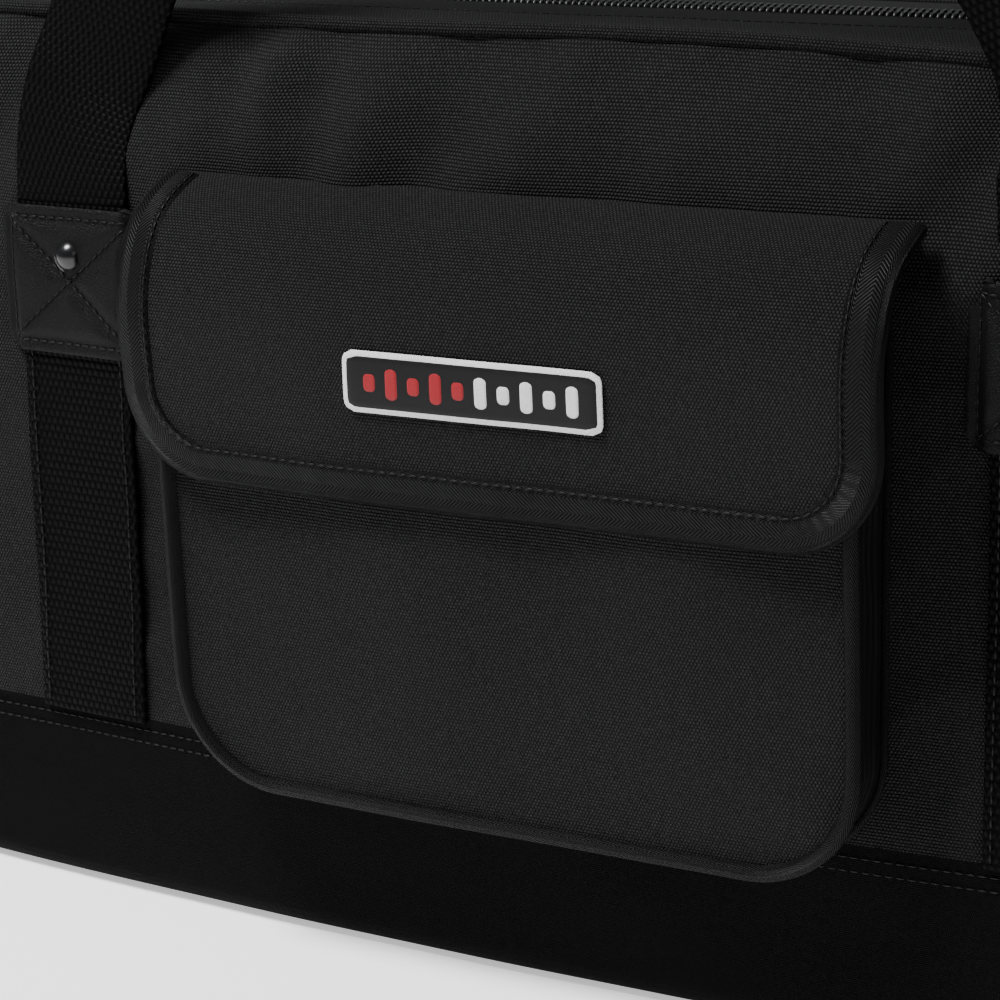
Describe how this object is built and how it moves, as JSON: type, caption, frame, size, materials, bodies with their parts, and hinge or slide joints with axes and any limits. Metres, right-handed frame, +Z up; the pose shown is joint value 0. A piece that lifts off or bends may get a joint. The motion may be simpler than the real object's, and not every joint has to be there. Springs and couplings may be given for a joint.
{
  "type": "drum stick bag",
  "caption": "Soft zipped carry bag for drum sticks with padded walls, a flap pocket on its front, webbing carry handles and a reinforced lower band.",
  "frame": {"origin": "centre of the underside, on the surface the bag stands on", "axes": "+X along the bag's length, the front with the pocket faces -Y, +Z up"},
  "size_m": [0.6292, 0.1708, 0.374],
  "materials": {
    "ballistic_cloth": "coarse plain weave, matt",
    "band_cloth": "smooth close weave, matt",
    "edge_tape": "twilled tape, slight sheen",
    "webbing": "ribbed heavy webbing",
    "leatherette": "fine grain, satin",
    "rivet_metal": "gloss black dome",
    "ring_metal": "black nickel",
    "zip_coil": "black coil",
    "zip_tape": "close weave tape",
    "foam": "closed cell foam",
    "lining": "smooth lining",
    "board": "stiff board",
    "label": "woven label",
    "hook_and_loop": "hook and loop tape"
  },
  "bodies": {
    "bag": {"base_panel": "band_cloth", "bottom_board": "board", "lower_band_front": "band_cloth", "lower_band_rear": "band_cloth", "front_panel": "ballistic_cloth", "rear_panel": "ballistic_cloth", "end_panel_left": "ballistic_cloth", "end_panel_right": "ballistic_cloth", "foam_front": "foam", "foam_rear": "foam", "lining": "lining", "top_end_left": "ballistic_cloth", "top_end_right": "ballistic_cloth", "piping_front": "edge_tape", "piping_rear": "edge_tape", "piping_left": "edge_tape", "piping_right": "edge_tape", "zip_end_left": "zip_coil", "zip_end_right": "zip_coil", "strap_front_left": "webbing", "strap_front_right": "webbing", "strap_rear_left": "webbing", "strap_rear_right": "webbing", "patch_front_left": "leatherette", "patch_front_right": "leatherette", "patch_rear_left": "leatherette", "patch_rear_right": "leatherette", "rivet_front_left": "rivet_metal", "rivet_front_right": "rivet_metal", "rivet_rear_left": "rivet_metal", "rivet_rear_right": "rivet_metal", "pocket_gusset": "band_cloth", "pocket_front": "ballistic_cloth", "pocket_piping": "edge_tape", "pocket_loop_tape": "hook_and_loop", "ring_tab_left": "webbing", "ring_tab_right": "webbing"},
    "mouth_front": {"top_strip_front": "ballistic_cloth", "zip_tape_front": "zip_tape", "zip_coil_front": "zip_coil"},
    "mouth_rear": {"top_strip_rear": "ballistic_cloth", "zip_tape_rear": "zip_tape", "zip_coil_rear": "zip_coil"},
    "slider": {"slider_body": "ring_metal"},
    "pull": {"slider_pull": "ring_metal"},
    "flap": {"flap_shell": "ballistic_cloth", "flap_binding": "edge_tape", "flap_label": "label", "flap_hook_tape": "hook_and_loop"},
    "handle_front": {"handle_web_front": "webbing", "handle_grip_front": "leatherette"},
    "handle_rear": {"handle_web_rear": "webbing", "handle_grip_rear": "leatherette"},
    "ring_left": {"ring_left": "ring_metal"},
    "ring_right": {"ring_right": "ring_metal"}
  },
  "joints": [
    {"name": "mouth_front_fold", "type": "hinge", "parent": "bag", "child": "mouth_front", "pos_m": [0, -0.0386, 0.25475], "axis": [1, 0, 0], "range_deg": [0, 100]},
    {"name": "mouth_rear_fold", "type": "hinge", "parent": "bag", "child": "mouth_rear", "pos_m": [0, 0.0386, 0.25475], "axis": [-1, 0, 0], "range_deg": [0, 100]},
    {"name": "slider_run", "type": "slide", "parent": "bag", "child": "slider", "axis": [-1, 0, 0], "range_m": [0, 0.553]},
    {"name": "pull_swing", "type": "hinge", "parent": "slider", "child": "pull", "pos_m": [0.2765, 0, 0.25985], "axis": [0, -1, 0], "range_deg": [0, 180]},
    {"name": "flap_fold", "type": "hinge", "parent": "bag", "child": "flap", "pos_m": [0, -0.06968, 0.214], "axis": [-1, 0, 0], "range_deg": [0, 120]},
    {"name": "handle_front_swing", "type": "hinge", "parent": "bag", "child": "handle_front", "pos_m": [0, -0.06654, 0.2062], "axis": [1, 0, 0], "range_deg": [0, 120]},
    {"name": "handle_rear_swing", "type": "hinge", "parent": "bag", "child": "handle_rear", "pos_m": [0, 0.06654, 0.2062], "axis": [-1, 0, 0], "range_deg": [0, 120]},
    {"name": "ring_right_swing", "type": "hinge", "parent": "bag", "child": "ring_right", "pos_m": [0.3105, 0, 0.214], "axis": [0, -1, 0], "range_deg": [0, 150]},
    {"name": "ring_left_swing", "type": "hinge", "parent": "bag", "child": "ring_left", "pos_m": [-0.3105, 0, 0.214], "axis": [0, 1, 0], "range_deg": [0, 150]}
  ]
}
